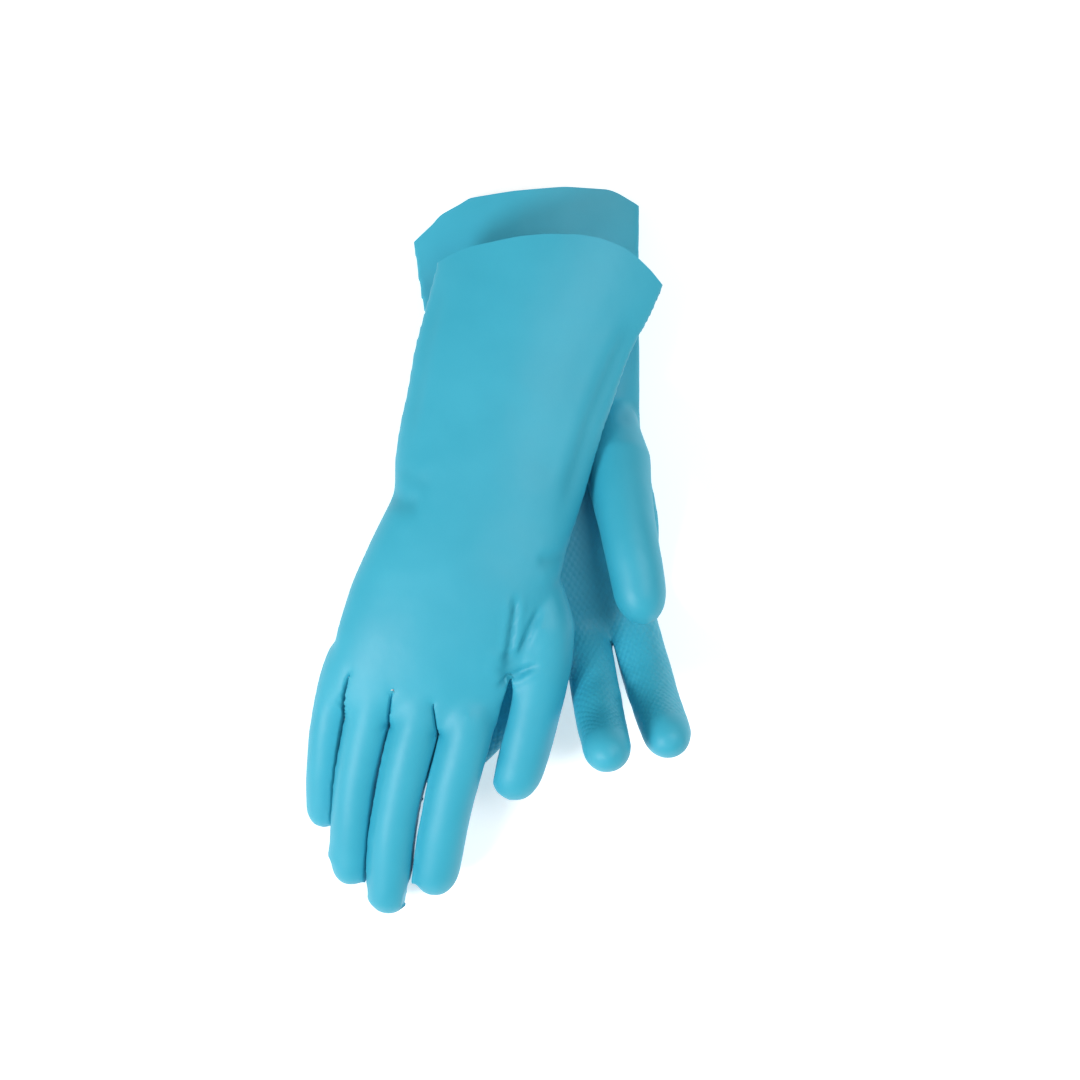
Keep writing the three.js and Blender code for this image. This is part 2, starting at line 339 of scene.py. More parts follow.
# %% [markdown]
# ## The smooth form of a glove
#
# A former is one body with five digits growing out of it. Each is a loft here: circles are made, pressed to the
# oval wanted at each station, and bridged. The six closed lofts overlap in the palm, and a voxel remesh makes
# them one skin, which a little smoothing rounds at the webs. Modelling one cage by hand would give cleaner quads,
# but the webs of five digits are just what a remesh is good at.

# %% Stations of the body in the glove's own axes, in millimetres
# Each is: y towards the cuff, x of the little-finger side, x of the thumb side, middle height, half height, crease.
# A crease of 0.5 is an oval, and more gives the sides the fold that a packed cuff keeps.
BODY = {
    "right": [
        (150, -52, 58, 43, 16, 0.9),
        (125, -52, 54, 44, 17, 0.88),
        (98, -52.4, 47.9, 45, 17.5, 0.8),
        (60, -51.4, 43.4, 46.5, 18, 0.68),
        (22, -49, 41.2, 48, 18, 0.58),
        (6, -46, 39.8, 48.8, 17.6, 0.52),
        (-6, -48.2, 39.4, 49, 17.8, 0.5),
        (-22, -51.6, 39.5, 49, 18, 0.5),
        (-44, -55.2, 36.5, 48.2, 17, 0.5),
        (-64, -56.4, 32, 46.8, 15.2, 0.5),
        (-78, -56, 28.6, 45.4, 12.9, 0.5),
        (-89, -54.6, 26, 44.4, 9.8, 0.5),
        (-97, -53, 23, 44, 5, 0.5),
    ],
    "left": [
        (132, -57, 57, 10.8, 10.4, 0.85),
        (107, -56.4, 56.4, 10.8, 10.6, 0.85),
        (82, -55.5, 52.8, 11.6, 11.4, 0.75),
        (50, -52.5, 47.7, 12.6, 12.4, 0.64),
        (20, -49.5, 43.6, 13.2, 13, 0.56),
        (4, -47.5, 41.6, 13.4, 13.2, 0.52),
        (-12, -50, 41.5, 13.4, 13.2, 0.5),
        (-32, -55, 40, 13.4, 13.2, 0.5),
        (-53, -58, 37.5, 13.2, 13, 0.5),
        (-72, -58, 32, 12.2, 12, 0.5),
        (-84, -57, 28, 11, 10.8, 0.5),
        (-92, -56, 26, 10.4, 8.6, 0.5),
        (-97, -54.5, 24, 10, 5.4, 0.5),
    ],
}
HAND_TURN = {"right": 0, "left": 6.5}  # degrees, of the hand at the wrist towards the thumb

# Half widths of each digit in millimetres: where it is fullest in the palm, at its web and at its tip.
RADII = {
    "thumb": (15.8, 13.4, 12.1),
    "index": (12.2, 11.9, 11.2),
    "middle": (12.2, 11.5, 11.2),
    "ring": (11.2, 10.5, 9.9),
    "little": (9.4, 9, 8.5),
}
PRESSED = {"left_ring": 0.6, "left_little": 0.66}  # height as a share of width, under the upper glove
THUMB_SEAT = {"right": (25, -8, 46.4), "left": (31, 10, 15)}  # where the thumb's middle line starts in the hand
FINGER_SEAT = {"right": 45.4, "left": 13}  # the height that the fingers' middle lines start at
SEAT_BACK = 38  # and how far back from their slits

# %% Loft helpers
RING_POINTS = 72
STEP = 2.5 * MM


def smooth_rows(rows, at):
    """Rows of numbers read at new places along their first column, on a smooth curve through them all."""
    rows = np.array(rows, float)
    rows = rows[np.argsort(rows[:, 0])]
    x, values = rows[:, 0], rows[:, 1:]
    slopes = np.gradient(values, x, axis=0)
    i = np.clip(np.searchsorted(x, at) - 1, 0, len(x) - 2)
    span = (x[i + 1] - x[i])[:, None]
    t = (at - x[i])[:, None] / span
    a, b = values[i], values[i + 1]
    rising, falling = t**2 * (3 - 2 * t), t * (1 - t)
    return a + (b - a) * rising + span * falling * (slopes[i] * (1 - t) - slopes[i + 1] * t)


def loft(places):
    """A closed tube through rings. Each entry of places turns a point of the unit circle into a point in space."""
    made = bmesh.new()
    loops = []
    for place in places:
        ring = bmesh.ops.create_circle(made, segments=RING_POINTS, radius=1)["verts"]
        edges = list({edge for vert in ring for edge in vert.link_edges})
        for vert in ring:
            vert.co = place(vert.co.x, vert.co.y)
        loops.append(edges)
    for a, b in zip(loops, loops[1:]):
        bmesh.ops.bridge_loops(made, edges=a + b)
    bmesh.ops.holes_fill(made, edges=loops[0] + loops[-1])
    bmesh.ops.recalc_face_normals(made, faces=made.faces)
    return made


def eased(t):
    """0 below 0, 1 above 1, and a smooth rise between, for a number or an array."""
    t = np.clip(t, 0, 1)
    return t * t * (3 - 2 * t)


def turned(side, point):
    """A point of the body, turned with the hand about the wrist."""
    turn = math.radians(HAND_TURN[side]) * float(eased((-point.y / MM + 10) / 50))
    return Matrix.Rotation(turn, 3, "Z") @ point


# %% The body: gauntlet and palm
def body_loft(side):
    rows = [(y, x0, x1, z, half, crease) for y, x0, x1, z, half, crease in BODY[side]]
    ys = np.arange(-97, rows[0][0], STEP / MM)

    def ring(y, x0, x1, z, half, crease):
        def place(c, s):
            rise = math.copysign(abs(s) ** (2 * crease), s)
            point = Vector(((x0 + x1) / 2 + (x1 - x0) / 2 * c, y, z + half * rise)) * MM
            return AXES[side] @ turned(side, point)

        return place

    return loft([ring(y, *row) for y, row in zip(ys, smooth_rows(rows, ys))])


# %% A digit's middle line, from its seat in the palm to its tip
def resampled(points, step):
    """Points at even steps on a smooth curve through the given ones, and how far along it each is."""
    points = np.array([tuple(p) for p in points])
    for _ in range(3):
        points[1:-1] = (points[:-2] + 2 * points[1:-1] + points[2:]) / 4
    along = np.concatenate([[0], np.cumsum(np.linalg.norm(np.diff(points, axis=0), axis=1))])
    at = np.linspace(0, along[-1], max(2, round(along[-1] / step)))
    return [Vector(p) for p in smooth_rows(np.column_stack([along, points]), at)], at


def seat_of(side, name):
    if name == "thumb":
        return AXES[side] @ (Vector(THUMB_SEAT[side]) * MM)
    local = AXES[side].inverted() @ LINES[side][name][0]
    local.y += SEAT_BACK * MM
    local.x = local.x * 0.8 - 2 * MM
    local.z = FINGER_SEAT[side] * MM
    return AXES[side] @ local


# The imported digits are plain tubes. In millimetres: how far each really leans to the thumb side at its slit and at
# its tip, and how much longer it is.
LEAN = {
    "right_index": (0, 0.6),
    "right_middle": (0, 2.0),
    "right_ring": (0.6, 4.0),
    "right_little": (1.8, 5.6),
    "left_thumb": (-1.2, -2.6),
}
LONGER = {"right_middle": 3.4, "right_ring": 3.6, "right_thumb": 1.5, "left_middle": -4.2, "left_index": -1}


def true_line(side, name):
    """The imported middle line, leant and lengthened."""
    line = LINES[side][name]
    across = -Vector(JOINTS[f"{side}_{name}_fold"]["axis"])
    shares = np.linspace(0, 1, len(line))
    first, last = LEAN.get(f"{side}_{name}", (0, 0))
    grow = LONGER.get(f"{side}_{name}", 0) * MM
    ahead = (line[-1] - line[-2]).normalized()
    leans = [(first + (last - first) * t**1.5) * MM for t in shares]
    return [p + across * lean + ahead * grow * t**2 for p, lean, t in zip(line, leans, shares)]


def digit_path(side, name):
    """The digit's middle line from seat to tip, how far along each point is, and how far along the slit is."""
    line = true_line(side, name)
    seat, start = seat_of(side, name), line[0]
    ahead = (line[1] - line[0]).normalized()
    bend = start - ahead * (seat - start).length * 0.5
    buried = [seat.lerp(bend, t).lerp(bend.lerp(start, t), t) for t in np.linspace(0, 1, 9)]
    path, at = resampled(buried + line[1:], STEP)
    slit = min(range(len(path)), key=lambda i: (path[i] - start).length)
    return path, at, at[slit]


PATHS = {side: {name: digit_path(side, name) for name in DIGITS} for side in SIDES}


# %% A digit round its middle line
# Two fingers closer than WELDED would be stuck together by the remesh in places, so there they are made to touch
# all along, and a thin wedge cuts them apart afterwards.
WELDED = 3.8 * MM
WEB_BEFORE_SLIT = 5.5 * MM


def beside(side, name, point, across):
    """The share of the way to the finger on each side that is this finger's, thumb side first."""
    free = [1.0, 1.0]
    order = DIGITS[1:]
    here = order.index(name) if name in order else len(order) + 1
    for other in order[max(0, here - 1) : here] + order[here + 1 : here + 2]:
        nearest = min(PATHS[side][other][0], key=lambda p: (p - point).length)
        away = nearest - point
        mine, theirs = RADII[name][1], RADII[other][1]
        free[0 if away.dot(across) > 0 else 1] = away.length * mine / (mine + theirs)
    return free


FULL_AT = 0.45  # a digit is widest this share of the way from its seat to its slit,
SEAT_WIDTH = 0.55  # and starts this share of that width
TIP_CAP, TIP_ROUND, TIP_LEAST = 1.45, 2.2, 0.004  # its rounded tip: length in tip radii, power, and smallest end


def digit_size(side, name, t):
    """The digit's half width at a distance along its middle line."""
    _, at, slit = PATHS[side][name]
    root, web, tip = (r * MM for r in RADII[name])
    full, end, cap = slit * FULL_AT, at[-1], tip * TIP_CAP
    if t < full:
        return root * (SEAT_WIDTH + (1 - SEAT_WIDTH) * t / full)
    if t < slit:
        return float(np.interp(t, (full, slit), (root, web)))
    left = max(0, cap - (end - t)) / cap
    return float(np.interp(t, (slit, end), (web, tip))) * math.sqrt(max(TIP_LEAST, 1 - left**TIP_ROUND))


def digit_frame(side, name, i):
    """The way ahead, to the thumb side and up at one point of the middle line."""
    path = PATHS[side][name][0]
    across = -Vector(JOINTS[f"{side}_{name}_fold"]["axis"])
    ahead = (path[min(i + 1, len(path) - 1)] - path[max(i - 1, 0)]).normalized()
    wide = (across - ahead * across.dot(ahead)).normalized()
    return ahead, wide, ahead.cross(wide)


def digit_loft(side, name):
    path, at, slit = PATHS[side][name]
    pressed = PRESSED.get(f"{side}_{name}", 0.97)

    def ring(i):
        _, wide, up = digit_frame(side, name, i)
        size = digit_size(side, name, at[i])
        halves = [size, size]
        if at[i] > slit - WEB_BEFORE_SLIT and at[i] < at[-1] - 3 * MM:
            rooms = beside(side, name, path[i], wide)
            halves = [room + 0.3 * MM if room - size < WELDED / 2 else size for room in rooms]
        return lambda c, s: path[i] + wide * c * halves[0 if c > 0 else 1] + up * s * pressed * size

    return loft([ring(i) for i in range(len(path))])


# %% The wedge that cuts two neighbouring fingers apart
# On the back of the hand the cut ramps down to the web from RAMP before it. VALLEY_SHIFT moves the ramp's start.
THINNEST_GAP = 1.3 * MM
WEDGE_REACH = 24 * MM
RAMP = {"right": 19 * MM, "left": 0}
WEDGE_TILT = {"right": 0.14, "left": 0}  # fingers that lie flat lean on each other, so nothing shows between them
VALLEY_SHIFT = {"index": -5 * MM, "middle": -1.5 * MM, "ring": -1 * MM}


def flat_sided(c):
    """The cosine of a circle turned into that of a rounded box."""
    return math.copysign(abs(c) ** 0.25, c)


def wedge_loft(side, name, other):
    path, at, slit = PATHS[side][name]
    beyond, beyond_at, _ = PATHS[side][other]
    ramp = RAMP[side]
    web = slit - WEB_BEFORE_SLIT
    start = next(i for i, t in enumerate(at) if t > web - ramp)
    places, apart = [], 0
    for i in range(start, len(path) + 3):
        k = min(i, len(path) - 1)
        ahead, wide, up = digit_frame(side, name, k)
        point = path[k] + ahead * STEP * max(0, i - k)
        j = min(range(len(beyond)), key=lambda j: (beyond[j] - point).length)
        away = beyond[j] - point
        mine, theirs = RADII[name][1], RADII[other][1]
        gap = away.length - digit_size(side, name, at[k]) - digit_size(side, other, beyond_at[j])
        apart = apart + 1 if gap > WELDED + 0.4 * MM and at[k] > web + 3 * MM else 0
        if apart > 3:
            break
        share = min(1, (at[k] - web + ramp) / ramp) if ramp else 1
        low = -WEDGE_REACH if share == 1 else RADII[name][0] * MM * (1 - share) - 5 * MM * share
        thick = np.clip(gap, THINNEST_GAP, WELDED) if share == 1 else THINNEST_GAP * (0.35 + 0.65 * share)
        middle = point + away * (mine / (mine + theirs)) + wide * VALLEY_SHIFT[name] * (1 - share)
        rise = ahead.cross(away.normalized())
        rise = (rise if rise.dot(up) > 0 else -rise) + away.normalized() * WEDGE_TILT[side]
        middle = middle + rise * (WEDGE_REACH + low) / 2
        places.append((middle, away.normalized() * thick / 2, rise * (WEDGE_REACH - low) / 2))

    def ring(middle, out, tall):
        return lambda c, s: middle + out * flat_sided(c) + tall * s

    return loft([ring(*place) for place in places])


# %% The gap between the right thumb and its index finger
# Each is: x, y and width of the gap, in millimetres. The gap is open from top to bottom.
THUMB_GAP = [(27.6, -64, 1.0), (28.6, -69, 3.2), (28.8, -79, 5.0), (28.6, -99, 4.8), (28.8, -116, 4.6), (29, -130, 5)]
THUMB_GAP_LEVELS = (15, 75)


def thumb_gap_loft():
    low, high = THUMB_GAP_LEVELS

    def ring(x, y, width):
        def place(c, s):
            across = flat_sided(c) * width / 2
            return AXES["right"] @ (Vector((x + across, y, (low + high) / 2 + s * (high - low) / 2)) * MM)

        return place

    ys = np.arange(THUMB_GAP[0][1], THUMB_GAP[-1][1], -STEP / MM)
    rows = smooth_rows([(y, x, width) for x, y, width in THUMB_GAP], ys)
    return loft([ring(x, y, width) for y, (x, width) in zip(ys, rows)])


# %% One skin from the six lofts
VOXEL = 1.48 * MM
SMOOTHING = 7
SLIVER = 0.12 * MM


def modified(obj, kind, **settings):
    """The object's mesh replaced by what one modifier makes of it."""
    modifier = obj.modifiers.new(kind.lower(), kind)
    for key, value in settings.items():
        setattr(modifier, key, value)
    bpy.context.view_layer.update()
    shaped = bpy.data.meshes.new_from_object(obj.evaluated_get(bpy.context.evaluated_depsgraph_get()))
    obj.modifiers.clear()
    old, obj.data = obj.data, shaped
    bpy.data.meshes.remove(old)
    return obj


def joined_object(name, parts):
    joined = bmesh.new()
    for part in parts:
        mesh = bpy.data.meshes.new("part")
        part.to_mesh(mesh)
        joined.from_mesh(mesh)
        bpy.data.meshes.remove(mesh)
        part.free()
    mesh = bpy.data.meshes.new(name)
    joined.to_mesh(mesh)
    joined.free()
    made = bpy.data.objects.new(name, mesh)
    bpy.context.scene.collection.objects.link(made)
    return made


def discard(obj):
    bpy.data.meshes.remove(obj.data)


def tidy_cuts(mesh):
    """Merges the slivers that a boolean leaves and divides its many-sided faces into triangles."""
    made = bmesh.new()
    made.from_mesh(mesh)
    bmesh.ops.remove_doubles(made, verts=made.verts, dist=SLIVER)
    bmesh.ops.triangulate(made, faces=[face for face in made.faces if len(face.verts) > 4])
    made.to_mesh(mesh)
    made.free()


def glove_form(side):
    """The closed smooth form of a glove, its fingers apart."""
    lofts = [body_loft(side), *(digit_loft(side, name) for name in DIGITS)]
    form = modified(joined_object(f"{side}_form", lofts), "REMESH", mode="VOXEL", voxel_size=VOXEL)
    cutters = [wedge_loft(side, name, other) for name, other in zip(DIGITS[1:], DIGITS[2:])]
    if side == "right":
        cutters.append(thumb_gap_loft())
    for cutter in cutters:
        wedge = joined_object("wedge", [cutter])
        modified(form, "BOOLEAN", operation="DIFFERENCE", solver="MANIFOLD", object=wedge)
        discard(wedge)
    tidy_cuts(form.data)
    return modified(form, "SMOOTH", factor=0.5, iterations=SMOOTHING)


# %% [markdown]
# ## Folds, dents and grip
#
# A glove keeps the marks of its packing and of the hand that it was dipped for. They are pushed into the smooth
# form here: creases and dents along lines drawn on the hand, a faint unevenness of the sheet, and a diamond grip
# moulded into the palm side. Each mark moves points along the skin's normal, and folds are also kept as an
# attribute so that the finish can darken them with painted shade.

# %% Reading and writing a mesh's points
def read_points(mesh):
    points = np.empty(len(mesh.vertices) * 3)
    mesh.vertices.foreach_get("co", points)
    return points.reshape(-1, 3)


def read_normals(mesh):
    normals = np.empty(len(mesh.vertices) * 3)
    mesh.vertex_normals.foreach_get("vector", normals)
    return normals.reshape(-1, 3)


def write_points(mesh, points):
    mesh.vertices.foreach_set("co", points.ravel())
    mesh.update()


def in_glove(side, points):
    """World points in the glove's own axes, in millimetres."""
    to_glove = np.array(AXES[side].inverted())
    return (points @ to_glove[:3, :3].T + to_glove[:3, 3]) / MM


# %% Lines drawn on the glove, and how deep they press
# Each fold is: plan points (x, y) in millimetres, half width, depth, and whether it is on the upper or lower layer.
FOLDS = {
    "right": [
        ([(20.5, -24), (22.6, -34), (24, -48), (24.8, -60)], 1.5, 1.5, 1),
        ([(33.5, -28), (31.8, -38), (30, -48), (28.4, -56)], 1.4, 1.2, 1),
        ([(21.5, -70), (27, -65.5), (33, -59.5), (40, -54)], 1.5, 1.7, 1),
        ([(24.5, -50), (26.5, -58), (25.6, -68)], 3.2, 1.8, 1),
        ([(41, -2), (34, -6), (26, -8.5)], 3.0, 0.7, 1),
        ([(46, 118), (40, 92), (35.5, 60), (33.5, 28), (32.5, 8)], 3.2, 0.85, 0),
        ([(-46, 112), (-46.5, 80), (-45, 50), (-43, 22)], 3.2, 0.4, 0),
        ([(-50, 6), (-40, 3.6), (-30, 4.5)], 4.0, 0.9, 1),
        ([(-47, 20), (-38, 14), (-26, 15)], 4.0, 0.35, 1),
    ],
    "left": [
        ([(43, 14), (36, 9), (30, 3)], 3.4, 0.7, 1),
        ([(50, 96), (45, 70), (41, 44), (39, 22)], 3.2, 0.6, 0),
        ([(-51, 96), (-48, 70), (-46, 44), (-45, 22)], 3.0, 0.6, 0),
    ],
}


def polyline_distance(plan, line):
    """How far points in plan lie from a line, and how far along it the nearest point is as a share."""
    best = np.full(len(plan), 1e9)
    share = np.zeros(len(plan))
    line = np.array(line, float)
    lengths = np.linalg.norm(np.diff(line, axis=0), axis=1)
    ends = np.concatenate([[0], np.cumsum(lengths)]) / lengths.sum()
    for a, b, s0, s1 in zip(line, line[1:], ends, ends[1:]):
        t = np.clip(((plan - a) @ (b - a)) / ((b - a) @ (b - a)), 0, 1)
        away = np.linalg.norm(plan - (a + t[:, None] * (b - a)), axis=1)
        nearer = away < best
        best[nearer], share[nearer] = away[nearer], (s0 + (s1 - s0) * t)[nearer]
    return best, share


def press_folds(side, mesh):
    """Presses the folds in, and returns how strongly each point lies in one, which sets the painted shade in the folds.
    """
    points, normals = read_points(mesh), read_normals(mesh)
    local = in_glove(side, points)
    marked = np.zeros(len(points))
    moved = np.zeros(len(points))
    for line, half, depth, layer in FOLDS[side]:
        away, share = polyline_distance(local[:, :2], line)
        fade = eased(share / 0.25) * eased((1 - share) / 0.3)
        facing = eased(normals[:, 2] / 0.5) if layer else eased(np.abs(normals[:, 2]) / 0.4)
        groove = np.exp(-((away / half) ** 2)) * fade * facing
        ridge = np.exp(-(((away - 2.2 * half) / (1.1 * half)) ** 2)) * fade * facing
        moved += (0.28 * ridge - groove) * depth
        marked = np.maximum(marked, groove * min(1, depth))
    write_points(mesh, points + normals * (moved * MM)[:, None])
    return marked


# %% Softening a part of the skin
def soften(mesh, weights, rounds):
    """Moves each point towards the middle of its neighbours, by its weight."""
    pairs = np.empty(len(mesh.edges) * 2, int)
    mesh.edges.foreach_get("vertices", pairs)
    a, b = pairs.reshape(-1, 2).T
    points = read_points(mesh)
    count = np.bincount(np.concatenate([a, b]), minlength=len(points))[:, None]
    for _ in range(rounds):
        total = np.zeros_like(points)
        for axis in range(3):
            total[:, axis] = np.bincount(a, points[b, axis], len(points)) + np.bincount(b, points[a, axis], len(points))
        points += (total / count - points) * weights[:, None] * 0.6
    write_points(mesh, points)


def soften_knuckles(side, mesh):
    local, normals = in_glove(side, read_points(mesh)), read_normals(mesh)
    near = eased((-58 - local[:, 1]) / 14) * eased((112 + local[:, 1]) / 14)
    soften(mesh, near * eased(np.abs(normals[:, 2]) / 0.5), 14)


# %% The unevenness of the sheet, and the table under it
SWELLS = ((34, 0.55, 3.1), (15, 0.22, 7.7), (6, 0.07, 11.3))  # wavelength in mm, height in mm, seed


def uneven(side, mesh):
    points, normals = read_points(mesh), read_normals(mesh)
    height = np.zeros(len(points))
    for length, rise, seed in SWELLS:
        places = points / (length * MM) + seed + SIDES.index(side) * 5
        height += rise * np.array([noise.noise(place) for place in places])
    write_points(mesh, points + normals * (height * MM)[:, None])


SETTLED = 1.6 * MM  # below this height the skin flattens out onto the table


def settle(mesh):
    points = read_points(mesh)
    low = points[:, 2] < SETTLED
    points[low, 2] = SETTLED * np.exp(points[low, 2] / SETTLED - 1)
    write_points(mesh, points)


# %% [markdown]
# ## The cut cuff
#
# The cuff is cut with a knife after dipping, so its edge is a plain cut that bows outwards between two corners.
# The points are sheared so that the bowed cut becomes a flat one, a plane cuts them, and they are sheared back.

# %% Cutting the cuff along its bow
# Each is: x across the glove and y of the cut there, in millimetres.
CUFF_CUT = {
    "right": [(-60, 109), (-52, 116), (-46, 121.3), (-38.5, 126.2), (-33.5, 128.4), (-16, 136), (-5, 139.6),
              (11, 143.2), (20, 143.9), (30, 143), (36, 141.4), (41, 139.2), (47, 136), (52.5, 132.2), (60, 127)],
    "left": [(-62, 98), (-56, 105), (-44, 112.8), (-40.6, 116), (-28.5, 120.2), (-25.5, 121.8), (-4, 122),
             (21, 120.8), (42, 117), (46, 115), (56, 107.6), (62, 102)],
}


def cuff_cut_at(side, x):
    """The cut's y at each x: a hand-held blade makes it from nearly straight strokes."""
    rows = np.array(CUFF_CUT[side], float)
    return sum(np.interp(x + step, rows[:, 0], rows[:, 1]) for step in (-1.5, 0, 1.5)) / 3


def cut_cuff(side, obj):
    """Cuts the cuff's end off a closed form and leaves it open."""
    mesh = obj.data
    points = read_points(mesh)
    cuff = np.array(AXES[side].to_3x3().col[1])
    shear = cuff_cut_at(side, in_glove(side, points)[:, 0])
    write_points(mesh, points - cuff * (shear * MM)[:, None])
    made = bmesh.new()
    made.from_mesh(mesh)
    at = AXES[side] @ Vector((0, 0, 0))
    everything = made.verts[:] + made.edges[:] + made.faces[:]
    bmesh.ops.bisect_plane(made, geom=everything, dist=1e-7, plane_co=at, plane_no=cuff, clear_outer=True)
    made.to_mesh(mesh)
    made.free()
    points = read_points(mesh)
    shear = cuff_cut_at(side, in_glove(side, points)[:, 0])
    write_points(mesh, points + cuff * (shear * MM)[:, None])


# %% [markdown]
# ## The grip
#
# Household gloves have a fine diamond lattice on the palm side, moulded by the former. It is real relief here, so
# it catches the light from any side: the faces of the palm side are divided once, and grooves are pressed in
# along two sets of lines. The lines follow each finger, whose plan would otherwise shear as it curls.

# %% Where a point lies on the hand, for patterns and for cutting
def nearest_digit(side, points):
    """For each point the digit whose middle line is nearest for its width, how far in widths, and where along."""
    best = np.full(len(points), 1e9)
    which = np.full(len(points), -1)
    along, across = np.zeros(len(points)), np.zeros(len(points))
    for number, name in enumerate(DIGITS):
        path, at, slit = PATHS[side][name]
        nodes = np.array([tuple(p) for p in path])
        wides = np.array([tuple(digit_frame(side, name, i)[1]) for i in range(len(path))])
        aheads = np.array([tuple(digit_frame(side, name, i)[0]) for i in range(len(path))])
        for begin in range(0, len(points), 20000):
            chunk = slice(begin, begin + 20000)
            away = points[chunk, None, :] - nodes[None]
            lengths = np.linalg.norm(away, axis=2)
            nearest = lengths.argmin(1)
            rows = np.arange(len(nearest))
            offset = away[rows, nearest]
            widths = lengths[rows, nearest] / (RADII[name][1] * MM)
            take = widths < best[chunk]
            index = np.flatnonzero(take) + begin
            best[index] = widths[take]
            which[index] = number
            step = (offset * aheads[nearest]).sum(1)
            along[index] = (at[nearest] - slit + step)[take]
            across[index] = (offset * wides[nearest]).sum(1)[take]
    return which, best, along, across


# %% The diamond lattice
DIAMOND = 2.5  # mm from groove to groove
GROOVE_WIDTH, GROOVE_DEPTH = 0.42, 0.26  # mm
DIAMOND_LEAN, DIAMOND_PITCH = 0.62, 1.18  # how far the grooves lean, and what that makes of their distance
GRIP_SIDE = {"left": 1, "right": -1}  # the palm side faces up or down
SMOOTH_TIP = 13  # mm left plain at each tip


def lattice_place(side, points):
    """Pattern coordinates in millimetres, across and along the hand, continuous onto the fingers."""
    local = in_glove(side, points)
    which, widths, along, across = nearest_digit(side, points)
    u, v = local[:, 0].copy(), -local[:, 1].copy()
    for number, name in enumerate(DIGITS):
        start = in_glove(side, np.array([tuple(LINES[side][name][0])]))[0]
        mine = (which == number) & (along > 0) & (widths < 1.7)
        u[mine] = start[0] + across[mine] / MM
        v[mine] = -start[1] + along[mine] / MM
    return u, v, which, widths, along


def grip_share(side, points, normals):
    """How fully each point lies in the gripped part of the skin."""
    u, v, which, widths, along = lattice_place(side, points)
    local = in_glove(side, points)
    share = eased((-local[:, 1] - 6) / 5)
    facing = normals[:, 2] * GRIP_SIDE[side]
    for number, name in enumerate(DIGITS):
        path, at, slit = PATHS[side][name]
        ups = np.array([tuple(digit_frame(side, name, i)[2]) for i in range(len(path))])
        mine = (which == number) & (along > -8 * MM) & (widths < 1.7)
        nearest = np.clip(np.searchsorted(at, along[mine] + slit), 0, len(path) - 1)
        facing[mine] = (normals[mine] * ups[nearest]).sum(1) * GRIP_SIDE[side]
        share[mine] *= eased((at[-1] - slit - along[mine] - SMOOTH_TIP * MM) / (4 * MM))
        if name == "thumb":
            share[which == number] *= eased((widths[which == number] - 1.3) / 0.35)
    return share * eased((facing - 0.12) / 0.3), u, v


def press_grip(side, mesh):
    """Divides the gripped faces once and presses the lattice into them."""
    points, normals = read_points(mesh), read_normals(mesh)
    share, u, v = grip_share(side, points, normals)
    made = bmesh.new()
    made.from_mesh(mesh)
    bmesh.ops.triangulate(made, faces=[face for face in made.faces if len(face.verts) > 4])
    made.verts.ensure_lookup_table()
    gripped = [edge for edge in made.edges if max(share[edge.verts[0].index], share[edge.verts[1].index]) > 0.02]
    bmesh.ops.subdivide_edges(made, edges=gripped, cuts=1, use_grid_fill=True, smooth=0.0)
    made.to_mesh(mesh)
    made.free()
    points, normals = read_points(mesh), read_normals(mesh)
    share, u, v = grip_share(side, points, normals)
    groove = np.zeros(len(points))
    for lean in (1, -1):
        at = (u + lean * v * DIAMOND_LEAN) / (DIAMOND * DIAMOND_PITCH)
        away = np.abs(at - np.round(at)) * DIAMOND
        groove = np.maximum(groove, np.exp(-((away / GROOVE_WIDTH) ** 2)))
    write_points(mesh, points - normals * (groove * share * GROOVE_DEPTH * MM)[:, None])
    return groove * share


# %% [markdown]
# ## Pieces cut at the slits
#
# The skin is one surface, but each digit turns with its own body of the imported model. So the surface is cut at
# the same slits, and the normals of the whole are kept on the pieces: at rest no seam shows. Every piece gets a
# real wall. Only the left hand's piece is attached to a body; the other pieces stay where they are made.

# %% Cutting the skin at the slits
def cut_at_slits(side, obj):
    """Adds an edge loop at each digit's slit, and returns a label for each face: 0 the hand, 1 to 5 the digits."""
    mesh = obj.data
    for number, name in enumerate(DIGITS):
        line = LINES[side][name]
        ahead = (line[1] - line[0]).normalized()
        made = bmesh.new()
        made.from_mesh(mesh)
        centres = np.array([tuple(face.calc_center_median()) for face in made.faces])
        near = np.linalg.norm(centres - np.array(line[0]), axis=1) < 30 * MM
        index = np.flatnonzero(near)
        which, widths, along, _ = nearest_digit(side, centres[index])
        index = index[(which == number) & (np.abs(along) < 9 * MM) & (widths < 1.7)]
        made.faces.ensure_lookup_table()
        faces = [made.faces[i] for i in index]
        geometry = list({vert for face in faces for vert in face.verts})
        geometry += list({edge for face in faces for edge in face.edges}) + faces
        bmesh.ops.bisect_plane(made, geom=geometry, dist=1e-7, plane_co=line[0], plane_no=ahead)
        made.to_mesh(mesh)
        made.free()
    centres = np.empty(len(mesh.polygons) * 3)
    mesh.polygons.foreach_get("center", centres)
    centres = centres.reshape(-1, 3)
    which, widths, along, _ = nearest_digit(side, centres)
    labels = np.zeros(len(centres), int)
    for number, name in enumerate(DIGITS):
        line = LINES[side][name]
        ahead = np.array((line[1] - line[0]).normalized())
        past = (centres - np.array(line[0])) @ ahead > 0
        labels[(which == number) & past & (widths < 1.75) & (along > -3 * MM)] = number + 1
    return labels


# %% One piece of the skin, with a wall
def keep_faces(made, wanted):
    made.faces.ensure_lookup_table()
    doomed = [face for face, keep in zip(made.faces, wanted) if not keep]
    bmesh.ops.delete(made, geom=doomed, context="FACES")


